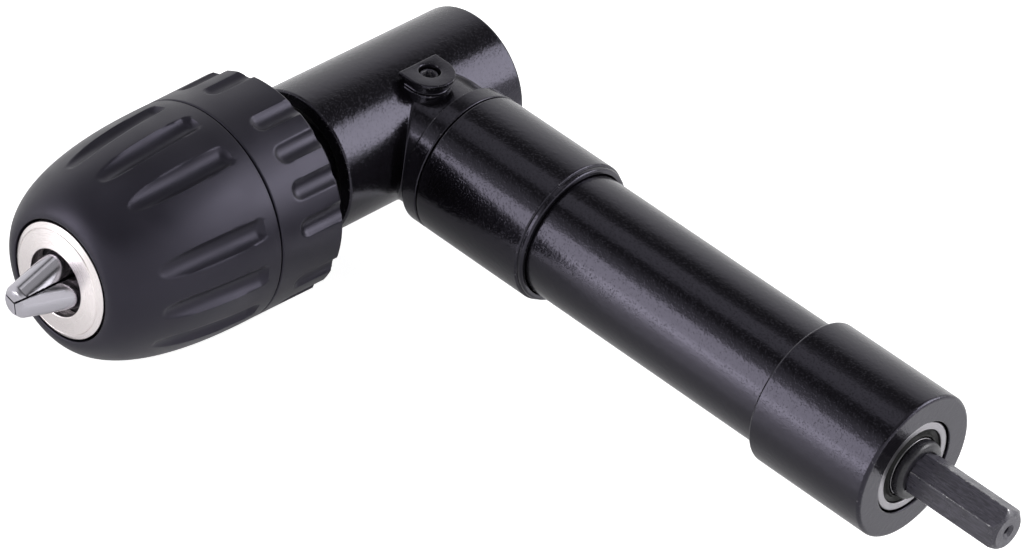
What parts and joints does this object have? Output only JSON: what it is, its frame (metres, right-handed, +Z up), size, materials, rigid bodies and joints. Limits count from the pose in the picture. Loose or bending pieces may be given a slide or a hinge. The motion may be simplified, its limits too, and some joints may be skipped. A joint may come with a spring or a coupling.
{
  "type": "right angle drill adapter",
  "caption": "Right angle drill adapter: a hex shank drives a bevel gear pair in a cast head, which turns a keyless chuck at a right angle to the drive tube.",
  "frame": {"origin": "Centre of the outer face of the rear end cap of the gear head, on the chuck's axis.", "axes": "The chuck's axis runs along Y with its nose towards -Y, the drive axis with the hex shank runs towards +X, and +Z is up through the grease screw's boss."},
  "size_m": [0.1795, 0.1193, 0.045],
  "materials": {
    "black_enamel": "glossy black enamel on cast and turned metal",
    "charcoal_plastic": "satin charcoal moulded plastic",
    "bright_steel": "ground steel",
    "black_oxide_steel": "black oxide with worn bright edges",
    "gear_steel": "hardened steel",
    "jaw_steel": "polished hardened steel",
    "satin_nickel": "satin nickel plate",
    "bronze": "oil-filled sintered bronze",
    "seal_rubber": "black nitrile rubber",
    "cage_brass": "pressed brass cage with steel balls"
  },
  "bodies": {
    "gearbox": {"gear_head_housing": "black_enamel", "rear_end_cap": "black_enamel", "grease_screw": "bright_steel", "spindle_rear_bush": "bronze", "front_bearing_circlip": "bright_steel", "front_oil_seal": "seal_rubber", "lock_ring": "black_enamel", "drive_tube_sleeve": "black_enamel", "extension_tube": "black_enamel", "rear_bearing_housing": "black_enamel", "front_bearing_carrier": "bright_steel", "drive_front_bearing_outer_race": "bright_steel", "drive_rear_bearing_outer_race": "bright_steel", "rear_bearing_seal": "seal_rubber", "spindle_front_bearing_outer_race": "bright_steel"},
    "drive_line": {"hex_drive_shaft": "black_oxide_steel", "drive_pinion": "gear_steel", "pinion_roll_pin": "bright_steel", "drive_front_bearing_inner_race": "bright_steel", "drive_rear_bearing_inner_race": "bright_steel", "rear_shaft_collar": "black_oxide_steel"},
    "chuck_spindle": {"output_spindle": "black_oxide_steel", "output_bevel_gear": "gear_steel", "gear_key": "bright_steel", "gear_circlip": "bright_steel", "spindle_front_bearing_inner_race": "bright_steel", "chuck_body": "bright_steel", "rear_grip_ring": "charcoal_plastic", "nose_ring": "satin_nickel", "chuck_screw": "bright_steel"},
    "chuck_sleeve": {"front_grip_sleeve": "charcoal_plastic", "jaw_nut": "bright_steel"},
    "jaw_1": {"jaw_1": "jaw_steel"},
    "jaw_2": {"jaw_2": "jaw_steel"},
    "jaw_3": {"jaw_3": "jaw_steel"},
    "drive_front_cage": {"drive_front_bearing_balls_and_cage": "cage_brass"},
    "drive_rear_cage": {"drive_rear_bearing_balls_and_cage": "cage_brass"},
    "spindle_cage": {"spindle_front_bearing_balls_and_cage": "cage_brass"}
  },
  "joints": [
    {"name": "output_spin", "type": "hinge", "parent": "gearbox", "child": "chuck_spindle", "pos_m": [0, -0.02015, 0], "axis": [0, -1, 0], "continuous": true},
    {"name": "drive_spin", "type": "hinge", "parent": "gearbox", "child": "drive_line", "pos_m": [0, -0.02015, 0], "axis": [1, 0, 0], "continuous": true},
    {"name": "spindle_cage_spin", "type": "hinge", "parent": "gearbox", "child": "spindle_cage", "pos_m": [0, -0.02015, 0], "axis": [0, -1, 0], "continuous": true},
    {"name": "drive_front_cage_spin", "type": "hinge", "parent": "gearbox", "child": "drive_front_cage", "pos_m": [0, -0.02015, 0], "axis": [1, 0, 0], "continuous": true},
    {"name": "drive_rear_cage_spin", "type": "hinge", "parent": "gearbox", "child": "drive_rear_cage", "pos_m": [0, -0.02015, 0], "axis": [1, 0, 0], "continuous": true},
    {"name": "sleeve_turn", "type": "hinge", "parent": "chuck_spindle", "child": "chuck_sleeve", "pos_m": [0, -0.02015, 0], "axis": [0, -1, 0], "range_deg": [0, 2520]},
    {"name": "jaw_1_slide", "type": "slide", "parent": "chuck_spindle", "child": "jaw_1", "axis": [-0.0783, 0.9588, 0.273], "range_m": [0, 0.014]},
    {"name": "jaw_2_slide", "type": "slide", "parent": "chuck_spindle", "child": "jaw_2", "axis": [-0.1973, 0.9588, -0.2043], "range_m": [0, 0.014]},
    {"name": "jaw_3_slide", "type": "slide", "parent": "chuck_spindle", "child": "jaw_3", "axis": [0.2756, 0.9588, -0.0687], "range_m": [0, 0.014]}
  ],
  "couplings": [
    {"joint": "drive_spin", "follows": "output_spin", "ratio": -1},
    {"joint": "spindle_cage_spin", "follows": "output_spin", "ratio": 0.4111},
    {"joint": "drive_front_cage_spin", "follows": "output_spin", "ratio": -0.3889},
    {"joint": "drive_rear_cage_spin", "follows": "output_spin", "ratio": -0.3889},
    {"joint": "jaw_1_slide", "follows": "sleeve_turn", "m_per_rad": 0.0003183},
    {"joint": "jaw_2_slide", "follows": "sleeve_turn", "m_per_rad": 0.0003183},
    {"joint": "jaw_3_slide", "follows": "sleeve_turn", "m_per_rad": 0.0003183}
  ]
}
